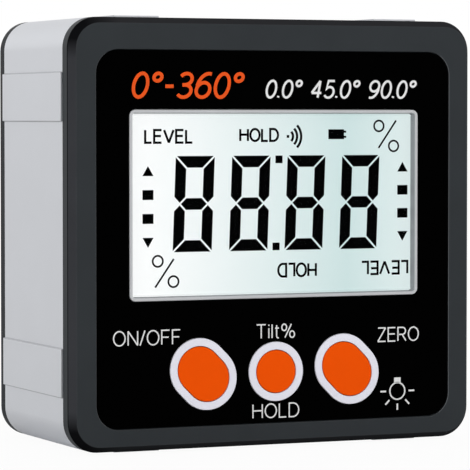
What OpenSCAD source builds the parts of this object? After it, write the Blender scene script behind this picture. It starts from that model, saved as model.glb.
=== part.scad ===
// Digital angle gauge: a box instrument with a display, three keys and an extruded frame.
// Millimetres. X runs along the width, the front faces -Y and Z points up.
// The origin is the middle of the footprint, level with the faces of the lower pads.
// Depths run back from the front face, heights up from the middle of the case.

/* [Case] */
// Width of the case without its raised pads
case_width = 63; // [57:0.5:80]
// Height of the case without its raised pads
case_height = 61; // [55:0.5:80]
// Radius of the four long edges of the case
corner_radius = 4.4; // [3.6:0.1:6]
// Depth of the front bezel that shows ahead of the frame
bezel_depth = 3.3; // [2.8:0.1:5]
// Depth of the extruded frame
frame_depth = 24; // [23:0.5:40]
// Thickness of the back cover that shows behind the frame
cover_thickness = 2.7; // [2.6:0.1:4]
// How far the bevel reaches in over the front face
front_bevel_inset = 0.8; // [0.2:0.1:1.5]
// How far the bevel reaches back along the sides of the bezel
front_bevel_depth = 1.4; // [0.4:0.1:2]
// Width and depth of the bevel around the back
back_bevel = 0.9; // [0.3:0.1:1.5]
// Wall of the lips that hold the mouldings square inside the frame
lip_wall = 1.2; // [0.8:0.1:1.6]
// How far those lips reach into the frame
lip_depth = 2; // [1:0.1:3]

/* [Frame] */
// Wall of the extruded frame
frame_wall = 2.4; // [2.2:0.1:2.6]
// How far the ground pads stand proud of the frame's sides
pad_rise = 0.3; // [0.1:0.05:0.8]
// Width of each ground pad
pad_width = 6.9; // [6:0.1:9]
// Distance from the corner of the case to the near edge of a pad
pad_inset = 7.7; // [6.5:0.1:10]
// Diameter of the magnets in the lower pads
magnet_diameter = 5; // [3:0.1:5.5]
// Thickness of the magnets
magnet_thickness = 2; // [1:0.1:2.1]
// Distance between the two magnets of one pad
magnet_spacing = 12; // [8:0.5:16]

/* [Front panel] */
// Width of the bezel's border beside the panel
panel_side_border = 3.9; // [3:0.05:5]
// Height of the bezel's border above the panel
panel_top_border = 4.6; // [3.5:0.1:6]
// Height of the bezel's border below the panel
panel_bottom_border = 3.3; // [2.8:0.1:5]
// Corner radius of the panel sheet
panel_corner = 3.3; // [1:0.1:4]
// How far the panel's face lies behind the bezel's face
panel_recess = 0.4; // [0.1:0.05:0.8]
// Thickness of the panel sheet
panel_thickness = 0.3; // [0.2:0.05:0.5]
// Wall of the bezel behind the panel
front_wall = 0.8; // [0.7:0.05:1.2]

/* [Display] */
// Distance from the panel's sides to the rim around the display
rim_side_border = 4.95; // [4.7:0.05:8]
// Distance from the panel's upper edge down to the rim
rim_top_border = 8.35; // [8:0.05:11]
// Distance from the line of the keys up to the rim
rim_key_distance = 10.55; // [10.3:0.05:13]
// How far the middle of the display lies to the right of the middle of the case
display_shift = 0.1; // [-0.3:0.1:0.3]
// Width of the rim's face
rim_width = 0.45; // [0.3:0.05:0.8]
// Outer corner radius of the rim
rim_corner = 0.9; // [0.85:0.05:2]
// How far the rim's face lies behind the bezel's face
rim_recess = 0.35; // [0.1:0.05:0.4]
// How far the clear pane lies behind the rim's face
pane_recess = 0.65; // [0.3:0.05:0.7]
// Thickness of the clear pane
pane_thickness = 0.6; // [0.3:0.05:0.7]
// Thickness of each glass of the display
glass_thickness = 0.7; // [0.4:0.05:1.1]
// Thickness of each polariser sheet
polariser_thickness = 0.2; // [0.1:0.02:0.3]
// How far the glass reaches past the view opening
glass_margin = 1; // [0.9:0.05:1.2]
// Height of the front glass's contact strip below the rear glass
contact_strip = 2.6; // [2:0.1:2.8]
// Thickness of the display frame's flange behind the bezel's wall
display_flange = 0.4; // [0.3:0.05:0.6]
// Wall of the display frame around the glass
display_wall = 1.2; // [0.8:0.1:1.3]

/* [Segments] */
// Height of a digit
digit_height = 13.6; // [10:0.1:15]
// Width of a digit
digit_width = 6; // [5:0.1:7]
// Distance from the middle of a column of level marks to the nearest digit
digit_border = 4.02; // [2:0.02:5]
// Width of a segment
segment_width = 1.65; // [0.8:0.05:1.8]
// Gap between two segments
segment_gap = 0.27; // [0.1:0.01:0.4]
// Lean of the digits to the right, in degrees
digit_lean = 2.1; // [0:0.1:8]
// How far the middle of the digits lies to the right of the middle of the display
digits_shift = 0.85; // [0:0.05:1.1]
// How far the middle of the digits lies above the middle of the display
digits_rise = 0.1; // [0:0.1:1]
// Side of the square point marks
point_side = 1.1; // [0.6:0.05:1.4]
// Width of the level marks
mark_width = 1.65; // [1:0.05:1.8]
// Height of the level marks
mark_height = 1.4; // [0.8:0.05:2]
// Distance from one level mark to the next
mark_pitch = 3.37; // [2.6:0.01:4]
// Distance from the sides of the view opening to the middle of a column of level marks
mark_border = 2.1; // [2:0.05:3]
// How far the left column of level marks lies below the right one
mark_drop = 0.35; // [0:0.05:0.6]
// Number of digits on the display
digit_count = 4; // [2:1:4]

/* [Keys] */
// Diameter of the round key
key_diameter = 6.1; // [5:0.1:6.2]
// Width of the long keys
long_key_width = 6.6; // [5.5:0.1:6.7]
// Distance between the centres of the round ends of a long key
key_span = 1.75; // [1:0.05:2]
// Lean of the long keys below the level line, in degrees
key_lean = 45; // [40:1:50]
// Distance from one key to the next
key_pitch = 11.3; // [11.2:0.1:12]
// Distance from the panel's lower edge up to the line of the keys
key_rise = 7.3; // [7:0.1:9]
// Width of the collar around a key
collar_width = 1.2; // [0.8:0.05:1.25]
// How far the faces of the collars and keys lie behind the bezel's face
key_recess = 0.3; // [0.1:0.05:0.5]
// How far a key's rim reaches under its collar
key_flange = 0.8; // [0.4:0.05:0.9]
// Travel of a key
key_travel = 0.5; // [0.2:0.05:0.55]

/* [Board] */
// Depth of the board's front face
board_depth = 6.7; // [6.6:0.1:8]
// Thickness of the board
board_thickness = 1.6; // [1:0.1:2]
// Gap between the board's edge and the frame
board_gap = 0.5; // [0.3:0.1:1]
// Side of a switch's square base
switch_side = 6; // [5:0.1:6.4]
// Height of a switch's base above the board
switch_height = 2.8; // [2.4:0.1:2.8]
// Diameter of a switch's plunger
plunger_diameter = 3.4; // [2.4:0.1:4]
// How far the plunger stands out of its base
plunger_rise = 0.7; // [0.65:0.05:0.8]
// Diameter of the sounder
sounder_diameter = 12; // [9:0.5:13]
// Height of the sounder
sounder_height = 3; // [1.5:0.1:3.2]
// Side of the controller chip's body
chip_side = 7; // [5:0.1:8]

/* [Battery bay] */
// Diameter of a battery cell
cell_diameter = 10.5; // [10:0.1:10.8]
// Length of a battery cell, with its raised end
cell_length = 44.5; // [42:0.1:45.5]
// Length of a contact spring under load
spring_length = 4; // [3:0.1:5]
// Sheet thickness of the contacts
contact_thickness = 0.3; // [0.2:0.05:0.5]
// Wall of the battery tray
tray_wall = 1.2; // [0.8:0.1:1.5]
// Thickness of the battery door
door_thickness = 1.6; // [1.2:0.1:1.8]
// How far the door reaches past the tray's opening at its sides and ends
door_overlap = 1.5; // [1:0.1:1.8]
// Diameter of the door's hinge pins
hinge_pin_diameter = 1.2; // [0.8:0.1:1.4]
// Length of each hinge pin
hinge_pin_length = 1.5; // [0.8:0.1:2]
// Diameter of the battery leads
lead_diameter = 1; // [0.8:0.1:1.2]

/* [Fasteners] */
// Diameter of the posts that the case screws run through
post_diameter = 5.2; // [4.8:0.1:5.6]
// Diameter of the case screws
case_screw_diameter = 2; // [1.6:0.1:2.2]
// Length of the case screws under the head
case_screw_length = 18; // [16:0.5:19]
// Diameter of the case screws' heads
case_head_diameter = 3.8; // [3.4:0.1:4]
// Height of the case screws' heads
case_head_height = 1.5; // [1:0.1:2]
// Diameter of the board screws
board_screw_diameter = 1.6; // [1.2:0.1:1.8]
// Length of the board screws under the head
board_screw_length = 5; // [3.5:0.1:5.5]
// Diameter of the board screws' heads
board_head_diameter = 3; // [2.6:0.1:3.4]
// Height of the board screws' heads
board_head_height = 1; // [0.8:0.1:1.4]

/* [Fits] */
// Gap around a piece that drops into a pocket
pocket_gap = 0.1; // [0.05:0.01:0.15]
// Gap between a key and its collar
key_gap = 0.1; // [0.08:0.01:0.2]
// Running clearance of a switch plunger in its base
plunger_clearance = 0.05; // [0.02:0.01:0.1]
// Clearance between a screw and its hole
screw_clearance = 0.03; // [0.02:0.01:0.1]
// Running clearance of the door's hinge
hinge_clearance = 0.08; // [0.03:0.01:0.1]
// Gap around a battery cell
cell_gap = 0.25; // [0.1:0.05:0.3]

/* [Hidden] */
$fn = 64;
// Length by which a cut passes a face
cut = 1;

// Depths of the case
frame_from = bezel_depth;
cover_from = frame_from + frame_depth;
case_depth = cover_from + cover_thickness;
front_y = -case_depth / 2;
middle_height = pad_rise + case_height / 2;
panel_seat = panel_recess + panel_thickness;
wall_back = panel_seat + front_wall;

// Inside of the frame
inner_width = case_width - 2 * frame_wall;
inner_height = case_height - 2 * frame_wall;
inner_corner = corner_radius - frame_wall;
lip_width = inner_width - 2 * pocket_gap;
lip_height = inner_height - 2 * pocket_gap;
lip_inner_corner = 1;
side_pad_height = case_height / 2 - pad_inset - pad_width / 2;
end_pad_shift = case_width / 2 - pad_inset - pad_width / 2;
magnet_sink = 0.1;

// Posts for the case screws, a front one and a back one in each corner
post_gap = 0.3;
post_x = inner_width / 2 - post_gap - post_diameter / 2;
post_z = inner_height / 2 - post_gap - post_diameter / 2;
head_sink = 4;
screw_seat = case_depth - head_sink;
screw_tip = screw_seat - case_screw_length;
post_grip = 6;
post_meet = screw_tip + post_grip;
pilot_spare = 0.5;
head_gap = 0.2;
driver_slot = 0.5;
driver_edge = 0.7;

// Bosses for the board screws, each inside its corner's post
boss_diameter = 4.4;
boss_inset = 5.2;
boss_drop = 1.5;
boss_x = post_x - boss_inset;
boss_z = post_z - boss_drop;
board_back = board_depth + board_thickness;
board_hole_gap = 0.2;
board_corner = 1.5;

// What the back of the board carries
chip_place = [-9, 9];
chip_height = 1.4;
chip_leads = 8;
chip_lead_width = 0.3;
chip_lead_reach = 1;
chip_lead_thickness = 0.3;
sensor_side = 3;
sensor_height = 1;
crystal_place = [5, 9];
crystal_diameter = 2;
crystal_length = 6;
capacitor_place = [-14, -9];
capacitor_columns = 4;
capacitor_rows = 2;
capacitor_length = 1.6;
capacitor_width = 0.8;
capacitor_height = 0.8;
capacitor_pitch = 3.2;
sounder_place = [11, -9];
sounder_port_diameter = 2;
sounder_port_sink = 1;

// Panel, line of the keys and rim, from the edges of the case inwards
panel_width = case_width - 2 * panel_side_border;
panel_height = case_height - panel_top_border - panel_bottom_border;
panel_lift = (panel_bottom_border - panel_top_border) / 2;
key_height = panel_lift - panel_height / 2 + key_rise;
rim_top = panel_lift + panel_height / 2 - rim_top_border;
rim_bottom = key_height + rim_key_distance;
rim_outer_width = panel_width - 2 * rim_side_border;
rim_outer_height = rim_top - rim_bottom;
display_lift = (rim_top + rim_bottom) / 2;

// Display, from the front to the back
view_width = rim_outer_width - 2 * rim_width;
view_height = rim_outer_height - 2 * rim_width;
view_corner = 0.4;
pane_from = rim_recess + pane_recess;
pane_to = pane_from + pane_thickness;
rail_width = 0.35;
flange_back = wall_back + display_flange;
image_thickness = 0.05;
front_polariser_from = flange_back + image_thickness;
front_glass_from = front_polariser_from + polariser_thickness;
rear_glass_from = front_glass_from + glass_thickness;
rear_polariser_from = rear_glass_from + glass_thickness;
light_guide_from = rear_polariser_from + polariser_thickness;
polariser_margin = 0.6;
lamp_width = 0.7;
lamp_length = 3;
lamp_height = 1.8;
lamp_gap = 0.1;
strip_margin = 0.4;
strip_height = contact_strip - 2 * strip_margin;
mark_span = view_width - 2 * mark_border;
digit_pitch = (mark_span - 2 * digit_border - digit_width) / (digit_count - 1);

// Keys from left to right, each with its width and the distance between its round ends
key_widths = [long_key_width, key_diameter, long_key_width];
key_spans = [key_span, 0, key_span];
key_last = len(key_spans) - 1;
collar_flange = 0.8;
collar_flange_thickness = 0.4;
collar_back = wall_back + collar_flange_thickness;
key_stop_gap = 0.05;
key_flange_from = collar_back + key_stop_gap;
switch_top = board_depth - switch_height;
plunger_top = switch_top - plunger_rise;
key_flange_thickness = 0.45;
key_flange_back = key_flange_from + key_flange_thickness;
plunger_floor = 0.5;
plunger_reserve = 0.15;
plunger_bottom = board_depth - plunger_floor - plunger_reserve - key_travel;
switch_leg_width = 0.7;
switch_leg_spacing = 4;
switch_leg_reach = 0.6;
switch_leg_thickness = 0.2;

// Battery bay
door_seat = case_depth - door_thickness;
cell_depth = door_seat - cell_gap - cell_diameter / 2;
cell_height = cell_diameter / 2 + cell_gap;
cell_nub_diameter = 3.8;
cell_nub_length = 0.8;
tray_floor = cell_depth - cell_diameter / 2 - cell_gap;
tray_front = tray_floor - tray_wall;
tray_length = cell_length + spring_length + 2 * contact_thickness;
tray_height = 2 * (cell_diameter + 2 * cell_gap);
contact_side = 8.4;
tab_width = 2.4;
tab_reach = 1.6;
tab_slot_gap = 0.2;
tab_tip = tray_front - tab_reach;
lead_x = (contact_thickness - tray_length) / 2;
lead_sway = 2;
lead_rings = 16;
lead_straight = 0.15;
spring_wire = 0.6;
spring_base_radius = 3.4;
spring_tip_radius = 2.4;
spring_turns = 3;
spring_rings_a_turn = 14;
spring_touch_gap = 0.02;
tube_sides = 8;

// Battery door and its hinge
hinge_rim = 0.3;
hinge_lift = 0.2;
hinge_radius = door_thickness / 2 + hinge_rim;
hinge_depth = case_depth - hinge_radius;
hinge_height = tray_height / 2 + door_overlap + hinge_lift;
door_width = tray_length + 2 * door_overlap;
door_bottom = -(tray_height / 2 + door_overlap);
tongue_width = 8;
tongue_thickness = 1;
tongue_length = 1.2;
tongue_root = 0.5;
tongue_gap = 0.3;
grip_count = 3;
grip_width = 14;
grip_groove = 0.6;
grip_sink = 0.3;
grip_pitch = 1.6;

// A flat outline, seen from the front, made solid between two depths
module slab(from, to) {
    translate([0, front_y + to, middle_height])
        rotate([90, 0, 0])
            linear_extrude(to - from)
                children();
}

// A rod along X at one depth and height, between two places along X
module cross_rod(from, to, depth, height, diameter) {
    translate([from, front_y + depth, middle_height + height])
        rotate([0, 90, 0])
            cylinder(h = to - from, d = diameter);
}

module rounded_rect(width, height, radius) {
    square([width - 2 * radius, height], center = true);
    square([width, height - 2 * radius], center = true);
    mirrored_spots(width / 2 - radius, height / 2 - radius)
        circle(r = radius);
}

// The children at four places, mirrored left to right and top to bottom
module mirrored_spots(x, z) {
    for (side = [-1, 1], end = [-1, 1])
        translate([side * x, end * z])
            children();
}

// A rounded rectangle that narrows evenly towards its upper face
module bevelled_rect(width, height, radius, inset, depth) {
    mirrored_spots(width / 2 - radius, height / 2 - radius)
        cylinder(h = depth, r1 = radius, r2 = radius - inset);
    rotate([90, 0, 90])
        bevelled_bar(height, width - 2 * radius, inset, depth);
    rotate([90, 0, 0])
        bevelled_bar(width, height - 2 * radius, inset, depth);
}

module bevelled_bar(base, length, inset, depth) {
    half = base / 2;
    linear_extrude(length, center = true)
        polygon([[-half, 0], [half, 0], [half - inset, depth], [inset - half, depth]]);
}

// A round wire along a list of points, with flat ends
module wire(points, diameter) {
    last = len(points) - 1;
    rings = [
        for (i = [0 : last])
            let (
                along = points[min(i + 1, last)] - points[max(i - 1, 0)],
                first = cross(along, [1, 0, 0]) / norm(cross(along, [1, 0, 0])),
                second = cross(along, first) / norm(along)
            )
            for (k = [0 : tube_sides - 1])
                let (turn = 360 * k / tube_sides)
                points[i] + diameter / 2 * (cos(turn) * first + sin(turn) * second)
    ];
    walls = [
        for (i = [0 : last - 1], k = [0 : tube_sides - 1])
            let (
                here = i * tube_sides,
                next = (k + 1) % tube_sides
            )
            [here + k, here + tube_sides + k, here + tube_sides + next, here + next]
    ];
    start_cap = [for (k = [0 : tube_sides - 1]) k];
    end_cap = [for (k = [tube_sides - 1 : -1 : 0]) last * tube_sides + k];
    polyhedron(points = rings, faces = concat(walls, [start_cap, end_cap]));
}

module case_outline() {
    rounded_rect(case_width, case_height, corner_radius);
}

module panel_outline(grow) {
    translate([0, panel_lift])
        rounded_rect(panel_width + 2 * grow, panel_height + 2 * grow, panel_corner + grow);
}

module rim_outline(grow) {
    translate([display_shift, display_lift])
        rounded_rect(rim_outer_width + 2 * grow, rim_outer_height + 2 * grow, rim_corner + grow);
}

module view_outline() {
    translate([display_shift, display_lift])
        rounded_rect(view_width, view_height, view_corner);
}

// A rectangle around the view opening, grown on all sides and further below
module view_rect(grow, below = 0) {
    translate([
        display_shift - view_width / 2 - grow,
        display_lift - view_height / 2 - grow - below
    ])
        square([view_width + 2 * grow, view_height + 2 * grow + below]);
}

// The outline of one key, grown by a margin
module key_outline(index, grow) {
    width = key_widths[index] + 2 * grow;
    span = key_spans[index];
    key_spot(index)
        rotate(-key_lean) {
            if (span > 0)
                square([span, width], center = true);
            for (end = span > 0 ? [-1, 1] : [0])
                translate([end * span / 2, 0])
                    circle(d = width);
        }
}

module key_spot(index) {
    translate([(index - key_last / 2) * key_pitch, key_height])
        children();
}

module all_key_outlines(grow) {
    for (index = [0 : key_last])
        key_outline(index, grow);
}

// Front of the case
module front_bezel() {
    color("#383c3f")
        difference() {
            union() {
                bezel_shell();
                slab(panel_seat, post_meet)
                    mirrored_spots(post_x, post_z)
                        circle(d = post_diameter);
                slab(panel_seat, board_depth)
                    mirrored_spots(boss_x, boss_z)
                        circle(d = boss_diameter);
            }
            slab(-cut, panel_seat)
                panel_outline(pocket_gap);
            slab(-cut, wall_back + cut) {
                rim_outline(pocket_gap);
                all_key_outlines(collar_width + pocket_gap);
            }
            slab(wall_back, collar_back + pocket_gap)
                all_key_outlines(collar_width + collar_flange + pocket_gap);
            slab(screw_tip - pilot_spare, post_meet + cut)
                mirrored_spots(post_x, post_z)
                    circle(d = case_screw_diameter + 2 * screw_clearance);
            slab(board_back - board_screw_length, board_depth + cut)
                mirrored_spots(boss_x, boss_z)
                    circle(d = board_screw_diameter + 2 * screw_clearance);
        }
}

module bezel_shell() {
    difference() {
        union() {
            translate([0, front_y + front_bevel_depth, middle_height])
                rotate([90, 0, 0])
                    bevelled_rect(
                        case_width, case_height, corner_radius,
                        front_bevel_inset, front_bevel_depth
                    );
            slab(front_bevel_depth, bezel_depth)
                case_outline();
            slab(panel_seat, bezel_depth + lip_depth)
                rounded_rect(lip_width, lip_height, inner_corner);
        }
        slab(wall_back, bezel_depth + lip_depth + cut)
            rounded_rect(lip_width - 2 * lip_wall, lip_height - 2 * lip_wall, lip_inner_corner);
    }
}

module front_panel() {
    color("#0b0b0c")
        slab(panel_recess, panel_seat)
            difference() {
                panel_outline(0);
                rim_outline(pocket_gap);
                all_key_outlines(collar_width + pocket_gap);
            }
}

// Display, from the front to the back
module display_frame() {
    color("#bdbfc0") {
        difference() {
            union() {
                slab(rim_recess, flange_back)
                    rim_outline(0);
                slab(wall_back, board_depth)
                    view_rect(glass_margin + pocket_gap + display_wall, contact_strip);
            }
            slab(-cut, flange_back + cut)
                view_outline();
            slab(flange_back, board_depth + cut)
                view_rect(glass_margin + pocket_gap, contact_strip);
        }
        slab(pane_to, flange_back)
            pane_rails();
    }
}

// Ledges along the top and the bottom of the view opening, which carry the pane
module pane_rails() {
    for (end = [-1, 1])
        translate([display_shift, display_lift + end * view_height / 2])
            square([view_width, 2 * rail_width], center = true);
}

module display_pane() {
    color("#e8f2f2", 0.4)
        slab(pane_from, pane_to)
            intersection() {
                view_outline();
                view_rect(-pocket_gap);
            }
}

// The dark image of the display: digits, point marks and two columns of level marks
module lcd_segments() {
    color("#0c0c0d")
        slab(front_polariser_from - image_thickness, front_polariser_from)
            translate([display_shift + digits_shift, display_lift + digits_rise]) {
                for (index = [0 : digit_count - 1])
                    translate([(index - (digit_count - 1) / 2) * digit_pitch, 0])
                        digit();
                for (end = [-1, 1])
                    translate(leaned([0, end * (digit_height - point_side) / 2]))
                        square(point_side, center = true);
                for (side = [-1, 1])
                    translate([side * mark_span / 2, side < 0 ? -mark_drop : 0])
                        level_marks();
            }
}

function leaned(point) = [point[0] + tan(digit_lean) * point[1], point[1]];

module leaned_polygon(points) {
    polygon([for (point = points) leaned(point)]);
}

// Seven segments of one digit, each mitred to its neighbours
module digit() {
    half_width = digit_width / 2;
    half_height = digit_height / 2;
    mitre = segment_gap / sqrt(2);
    stroke = segment_width;
    shoulder = mitre + stroke / 2;
    for (end = [-1, 1]) {
        leaned_polygon([
            [mitre - half_width, end * half_height],
            [half_width - mitre, end * half_height],
            [half_width - mitre - stroke, end * (half_height - stroke)],
            [mitre + stroke - half_width, end * (half_height - stroke)]
        ]);
        for (side = [-1, 1])
            leaned_polygon([
                [side * half_width, end * (half_height - mitre)],
                [side * half_width, end * shoulder],
                [side * (half_width - stroke / 2), end * mitre],
                [side * (half_width - stroke), end * shoulder],
                [side * (half_width - stroke), end * (half_height - mitre - stroke)]
            ]);
    }
    bar_tip = half_width - shoulder;
    bar_end = bar_tip - stroke / 2;
    leaned_polygon([
        [-bar_tip, 0], [-bar_end, stroke / 2], [bar_end, stroke / 2],
        [bar_tip, 0], [bar_end, -stroke / 2], [-bar_end, -stroke / 2]
    ]);
}

// Two squares between an arrow up and an arrow down
module level_marks() {
    half_width = mark_width / 2;
    half_height = mark_height / 2;
    for (end = [-1, 1]) {
        translate([0, end * mark_pitch / 2])
            square([mark_width, mark_height], center = true);
        translate([0, end * mark_pitch * 3 / 2])
            polygon([
                [-half_width, -end * half_height],
                [half_width, -end * half_height],
                [0, end * half_height]
            ]);
    }
}

module front_polariser() {
    color("#dfe8e8")
        slab(front_polariser_from, front_glass_from)
            view_rect(polariser_margin);
}

module front_glass() {
    color("#d5e2e0")
        slab(front_glass_from, rear_glass_from)
            view_rect(glass_margin, contact_strip);
}

module rear_glass() {
    color("#cfdedb")
        slab(rear_glass_from, rear_polariser_from)
            view_rect(glass_margin);
}

module rear_polariser() {
    color("#c9d2cf")
        slab(rear_polariser_from, light_guide_from)
            view_rect(polariser_margin);
}

module light_guide() {
    color("#f4f6f2")
        slab(light_guide_from, board_depth)
            view_rect(0);
}

module backlight_lamp() {
    color("#fbf7e4")
        slab(board_depth - lamp_height, board_depth)
            translate([display_shift + view_width / 2 + lamp_gap, display_lift - lamp_length / 2])
                square([lamp_width, lamp_length]);
}

module contact_rubber() {
    color("#4a4a4e")
        slab(rear_glass_from, board_depth)
            translate([
                display_shift,
                display_lift - view_height / 2 - glass_margin - contact_strip / 2
            ])
                square([view_width, strip_height], center = true);
}

// Board and what it carries
module main_board() {
    color("#1f6b3f")
        slab(board_depth, board_back)
            difference() {
                rounded_rect(inner_width - 2 * board_gap, inner_height - 2 * board_gap, board_corner);
                mirrored_spots(post_x, post_z)
                    circle(d = post_diameter + 2 * board_gap);
                mirrored_spots(inner_width / 2, inner_height / 2)
                    square(2 * (inner_width / 2 - post_x), center = true);
                mirrored_spots(boss_x, boss_z)
                    circle(d = board_screw_diameter + 2 * board_hole_gap);
            }
}

module controller_chip() {
    lead_pitch = chip_side / (chip_leads + 1);
    color("#222326") {
        slab(board_back, board_back + chip_height)
            translate(chip_place)
                square(chip_side, center = true);
        slab(board_back, board_back + chip_lead_thickness)
            translate(chip_place)
                for (turn = [0, 90], index = [1 : chip_leads])
                    rotate(turn)
                        translate([0, index * lead_pitch - chip_side / 2])
                            square([chip_side + 2 * chip_lead_reach, chip_lead_width], center = true);
    }
}

module tilt_sensor() {
    color("#2b2b2e")
        slab(board_back, board_back + sensor_height)
            square(sensor_side, center = true);
}

module clock_crystal() {
    color("#c8cacc")
        cross_rod(
            crystal_place[0] - crystal_length / 2, crystal_place[0] + crystal_length / 2,
            board_back + crystal_diameter / 2, crystal_place[1], crystal_diameter
        );
}

module chip_capacitors() {
    color("#b59a72")
        slab(board_back, board_back + capacitor_height)
            translate(capacitor_place)
                for (column = [0 : capacitor_columns - 1], row = [0 : capacitor_rows - 1])
                    translate(capacitor_pitch * [column, row])
                        square([capacitor_length, capacitor_width]);
}

module sounder() {
    top = board_back + sounder_height;
    color("#18181a")
        difference() {
            slab(board_back, top)
                translate(sounder_place)
                    circle(d = sounder_diameter);
            slab(top - sounder_port_sink, top + cut)
                translate(sounder_place)
                    circle(d = sounder_port_diameter);
        }
}

// Switches, keys and collars
module switch_bases() {
    color("#2c2d30")
        for (index = [0 : key_last])
            difference() {
                union() {
                    slab(switch_top, board_depth)
                        key_spot(index)
                            square(switch_side, center = true);
                    slab(board_depth - switch_leg_thickness, board_depth)
                        key_spot(index)
                            mirrored_spots(switch_side / 2, switch_leg_spacing / 2)
                                square([2 * switch_leg_reach, switch_leg_width], center = true);
                }
                slab(switch_top - cut, board_depth - plunger_floor)
                    key_spot(index)
                        circle(d = plunger_diameter + 2 * plunger_clearance);
            }
}

module plunger(index) {
    color("#e9e6dc")
        slab(plunger_top, plunger_bottom)
            key_spot(index)
                circle(d = plunger_diameter);
}

module key(index) {
    color("#e65000") {
        slab(key_recess, key_flange_back)
            key_outline(index, 0);
        slab(key_flange_from, key_flange_back)
            key_outline(index, key_flange);
        slab(key_flange_from, plunger_top)
            key_spot(index)
                circle(d = plunger_diameter);
    }
}

module collar(index) {
    color("#dcdce4")
        difference() {
            union() {
                slab(key_recess, collar_back)
                    key_outline(index, collar_width);
                slab(wall_back, collar_back)
                    key_outline(index, collar_width + collar_flange);
            }
            slab(-cut, collar_back + cut)
                key_outline(index, key_gap);
        }
}

module power_plunger() { plunger(0); }
module hold_plunger() { plunger(1); }
module zero_plunger() { plunger(2); }
module power_key() { key(0); }
module hold_key() { key(1); }
module zero_key() { key(2); }
module power_collar() { collar(0); }
module hold_collar() { collar(1); }
module zero_collar() { collar(2); }

// Frame
module extruded_frame() {
    color("#c6c7cb")
        difference() {
            slab(frame_from, cover_from)
                difference() {
                    union() {
                        case_outline();
                        mirrored_spots(case_width / 2, side_pad_height)
                            square([2 * pad_rise, pad_width], center = true);
                        mirrored_spots(end_pad_shift, case_height / 2)
                            square([pad_width, 2 * pad_rise], center = true);
                    }
                    rounded_rect(inner_width, inner_height, inner_corner);
                }
            magnet_spots()
                translate([0, 0, -cut])
                    cylinder(
                        h = magnet_sink + magnet_thickness + cut,
                        d = magnet_diameter + 2 * pocket_gap
                    );
        }
}

module base_magnets() {
    color("#9c9da1")
        magnet_spots()
            translate([0, 0, magnet_sink])
                cylinder(h = magnet_thickness, d = magnet_diameter);
}

// Two places in each lower pad, level with the pads' faces
module magnet_spots() {
    for (side = [-1, 1], end = [-1, 1])
        translate([
            side * end_pad_shift,
            front_y + frame_from + frame_depth / 2 + end * magnet_spacing / 2,
            0
        ])
            children();
}

// Back of the case
module back_cover() {
    color("#303336")
        difference() {
            union() {
                cover_shell();
                slab(tray_front, door_seat)
                    square([tray_length + 2 * tray_wall, tray_height + 2 * tray_wall], center = true);
                slab(post_meet, door_seat)
                    mirrored_spots(post_x, post_z)
                        circle(d = post_diameter);
            }
            slab(tray_floor, case_depth + cut)
                square([tray_length, tray_height], center = true);
            slab(door_seat, case_depth + cut)
                door_outline(pocket_gap);
            door_hinge(hinge_clearance, pocket_gap);
            hinge_throat();
            tongue(tongue_gap);
            tab_slots();
            slab(post_meet - cut, case_depth)
                mirrored_spots(post_x, post_z)
                    circle(d = case_screw_diameter + 2 * screw_clearance);
            slab(screw_seat, case_depth + cut)
                mirrored_spots(post_x, post_z)
                    circle(d = case_head_diameter + 2 * head_gap);
        }
}

module cover_shell() {
    difference() {
        union() {
            slab(cover_from - lip_depth, door_seat)
                rounded_rect(lip_width, lip_height, inner_corner);
            slab(cover_from, case_depth - back_bevel)
                case_outline();
            translate([0, front_y + case_depth - back_bevel, middle_height])
                rotate([-90, 0, 0])
                    bevelled_rect(case_width, case_height, corner_radius, back_bevel, back_bevel);
        }
        slab(cover_from - lip_depth - cut, cover_from)
            rounded_rect(lip_width - 2 * lip_wall, lip_height - 2 * lip_wall, lip_inner_corner);
    }
}

// Slots in the tray's floor for the tabs of the two end contacts
module tab_slots() {
    slab(tray_front - cut, tray_floor + cut)
        for (end = [-1, 1])
            translate([lead_x, end * cell_height])
                square([contact_thickness, tab_width] + 2 * tab_slot_gap * [1, 1], center = true);
}

module door_outline(grow) {
    translate([-door_width / 2 - grow, door_bottom - grow])
        square([door_width + 2 * grow, hinge_height - door_bottom + grow]);
}

// Round upper edge of the door with a pin at each end
module door_hinge(clearance, grow) {
    half = door_width / 2 + grow;
    pin_end = door_width / 2 + hinge_pin_length + grow;
    cross_rod(-half, half, hinge_depth, hinge_height, 2 * (hinge_radius + clearance));
    cross_rod(-pin_end, pin_end, hinge_depth, hinge_height, hinge_pin_diameter + 2 * clearance);
}

// Room above the hinge for the door's outer face as it swings out
module hinge_throat() {
    slab(hinge_depth, case_depth + cut)
        translate([-door_width / 2 - pocket_gap, hinge_height])
            square([door_width + 2 * pocket_gap, hinge_radius + 2 * hinge_clearance]);
}

// Latch tongue inside the lower edge of the door
module tongue(grow) {
    slab(door_seat - tongue_length - grow, door_seat + tongue_root)
        translate([0, -(tray_height + tongue_thickness) / 2 - tongue_gap])
            square([tongue_width + 2 * grow, tongue_thickness + 2 * grow], center = true);
}

module battery_door() {
    color("#2a2d30")
        difference() {
            union() {
                slab(door_seat, case_depth)
                    door_outline(0);
                door_hinge(0, 0);
                tongue(0);
            }
            slab(case_depth - grip_sink, case_depth + cut)
                for (index = [1 : grip_count])
                    translate([0, door_bottom + index * grip_pitch])
                        square([grip_width, grip_groove], center = true);
        }
}

// Cells, contacts and leads
module cell(end) {
    tip = tray_length / 2 - contact_thickness;
    shoulder = tip - cell_nub_length;
    height = end * cell_height;
    color("#3d4f7a")
        mirror([end < 0 ? 1 : 0, 0, 0]) {
            cross_rod(tip - cell_length, shoulder, cell_depth, height, cell_diameter);
            cross_rod(tip - cell_length, tip, cell_depth, height, cell_nub_diameter);
        }
}

module upper_cell() { cell(1); }
module lower_cell() { cell(-1); }

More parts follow.
